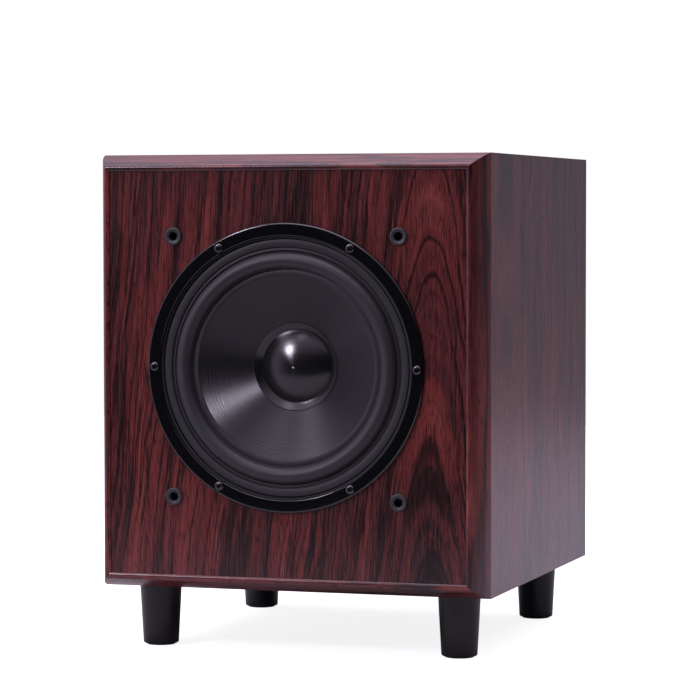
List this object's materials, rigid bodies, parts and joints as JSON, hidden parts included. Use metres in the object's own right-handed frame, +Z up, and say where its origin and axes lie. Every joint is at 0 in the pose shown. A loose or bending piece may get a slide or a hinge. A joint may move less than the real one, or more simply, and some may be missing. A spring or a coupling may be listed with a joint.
{
  "type": "powered subwoofer",
  "caption": "Powered subwoofer: board cabinet with a round long-throw driver in front, a plate amplifier behind, a port below and tall tapered feet.",
  "frame": {"origin": "on the floor, under the middle of the bounding box", "axes": "+Z up, -Y out of the front (driver side), +X to the right as seen from the front"},
  "size_m": [0.31, 0.3578, 0.3835],
  "materials": {
    "rosewood_vinyl_board": "satin rosewood-print vinyl over fibreboard",
    "raw_fibreboard": "raw board",
    "moulded_black": "moulded, satin",
    "gloss_black_plastic": "moulded, glossy",
    "surround_rubber": "moulded",
    "soft_rubber": "matte",
    "foam_gasket": "closed-cell foam",
    "cone_polypropylene": "turned",
    "black_screw_steel": "black zinc",
    "painted_steel": "black powder coat",
    "black_aluminium": "black anodised",
    "zinc_steel": "zinc plated",
    "ferrite": "fired",
    "copper_winding": "enamelled",
    "kapton_former": "film",
    "spider_cloth": "resin treated",
    "fleece": "felted",
    "circuit_laminate": "solder mask",
    "nickel": "plated",
    "red_plastic": "moulded",
    "lever_black": "moulded",
    "rca_nylon": "moulded",
    "led_lens": "clear tinted",
    "capacitor_sleeve": "shrink sleeve",
    "transformer_wrap": "polyester tape",
    "lead_insulation": "sleeved",
    "braid": "braided",
    "phenolic": "paper laminate",
    "pot_steel": "plated"
  },
  "bodies": {
    "cabinet": {"amp_gasket": "foam_gasket", "amp_plate": "painted_steel", "amp_screws": "black_screw_steel", "basket": "painted_steel", "bottom_panel": "rosewood_vinyl_board", "capacitors": "capacitor_sleeve", "circuit_board": "circuit_laminate", "control_pots": "pot_steel", "driver_gasket": "foam_gasket", "driver_screws": "black_screw_steel", "foot_front_left": "moulded_black", "foot_front_right": "moulded_black", "foot_pads": "soft_rubber", "foot_rear_left": "moulded_black", "foot_rear_right": "moulded_black", "foot_screws": "black_screw_steel", "front_baffle": "rosewood_vinyl_board", "grille_sockets": "soft_rubber", "heatsink": "black_aluminium", "iec_inlet": "moulded_black", "iec_pins": "nickel", "magnet": "ferrite", "port_tube": "moulded_black", "rca_insulators": "rca_nylon", "rca_shells": "nickel", "rear_panel": "rosewood_vinyl_board", "rocker_housing": "moulded_black", "side_panel_left": "rosewood_vinyl_board", "side_panel_right": "rosewood_vinyl_board", "speaker_leads": "lead_insulation", "spider": "spider_cloth", "status_led": "led_lens", "surround": "surround_rubber", "switch_bodies": "pot_steel", "terminal_block": "moulded_black", "terminal_strip": "phenolic", "tinsel_leads": "braid", "top_panel": "rosewood_vinyl_board", "top_plate": "zinc_steel", "transformer": "transformer_wrap", "trim_ring": "gloss_black_plastic", "wadding": "fleece", "window_brace": "raw_fibreboard", "yoke": "zinc_steel"},
    "cone_assembly": {"cone": "cone_polypropylene", "dust_cap": "cone_polypropylene", "coil_former": "kapton_former", "voice_coil": "copper_winding"},
    "volume_control": {"volume_knob": "moulded_black", "volume_shaft": "pot_steel"},
    "crossover_control": {"crossover_knob": "moulded_black", "crossover_shaft": "pot_steel"},
    "phase_slide_body": {"phase_slider": "lever_black"},
    "mode_slide_body": {"mode_slider": "lever_black"},
    "rocker_body": {"power_rocker": "gloss_black_plastic"},
    "fuse_drawer_body": {"fuse_drawer": "moulded_black"},
    "terminal_lever_red_left_body": {"terminal_lever_red_left": "red_plastic"},
    "terminal_lever_black_left_body": {"terminal_lever_black_left": "lever_black"},
    "terminal_lever_red_right_body": {"terminal_lever_red_right": "red_plastic"},
    "terminal_lever_black_right_body": {"terminal_lever_black_right": "lever_black"}
  },
  "joints": [
    {"name": "cone_excursion", "type": "slide", "parent": "cabinet", "child": "cone_assembly", "axis": [0, -1, 0], "range_m": [-0.008, 0.008], "stiffness_N_per_m": 2600, "deforming": ["surround", "spider", "tinsel_leads"]},
    {"name": "volume_turn", "type": "hinge", "parent": "cabinet", "child": "volume_control", "pos_m": [0.038, 0.16093, 0.30025], "axis": [0, -1, 0], "range_deg": [-150, 150]},
    {"name": "crossover_turn", "type": "hinge", "parent": "cabinet", "child": "crossover_control", "pos_m": [-0.038, 0.16093, 0.30025], "axis": [0, -1, 0], "range_deg": [-150, 150]},
    {"name": "phase_slide", "type": "slide", "parent": "cabinet", "child": "phase_slide_body", "axis": [-1, 0, 0], "range_m": [0, 0.004]},
    {"name": "mode_slide", "type": "slide", "parent": "cabinet", "child": "mode_slide_body", "axis": [-1, 0, 0], "range_m": [-0.003, 0.003]},
    {"name": "power_rock", "type": "hinge", "parent": "cabinet", "child": "rocker_body", "pos_m": [-0.022, 0.16043, 0.12625], "axis": [1, 0, 0], "range_deg": [-18, 0]},
    {"name": "fuse_drawer_slide", "type": "slide", "parent": "cabinet", "child": "fuse_drawer_body", "axis": [0, 1, 0], "range_m": [0, 0.02]},
    {"name": "terminal_lever_red_left_press", "type": "hinge", "parent": "cabinet", "child": "terminal_lever_red_left_body", "pos_m": [-0.0115, 0.16123, 0.24025], "axis": [1, 0, 0], "range_deg": [-20, 0], "stiffness_Nm_per_rad": 0.02},
    {"name": "terminal_lever_black_left_press", "type": "hinge", "parent": "cabinet", "child": "terminal_lever_black_left_body", "pos_m": [-0.0265, 0.16123, 0.24025], "axis": [1, 0, 0], "range_deg": [-20, 0], "stiffness_Nm_per_rad": 0.02},
    {"name": "terminal_lever_red_right_press", "type": "hinge", "parent": "cabinet", "child": "terminal_lever_red_right_body", "pos_m": [-0.0415, 0.16123, 0.24025], "axis": [1, 0, 0], "range_deg": [-20, 0], "stiffness_Nm_per_rad": 0.02},
    {"name": "terminal_lever_black_right_press", "type": "hinge", "parent": "cabinet", "child": "terminal_lever_black_right_body", "pos_m": [-0.0565, 0.16123, 0.24025], "axis": [1, 0, 0], "range_deg": [-20, 0], "stiffness_Nm_per_rad": 0.02}
  ]
}
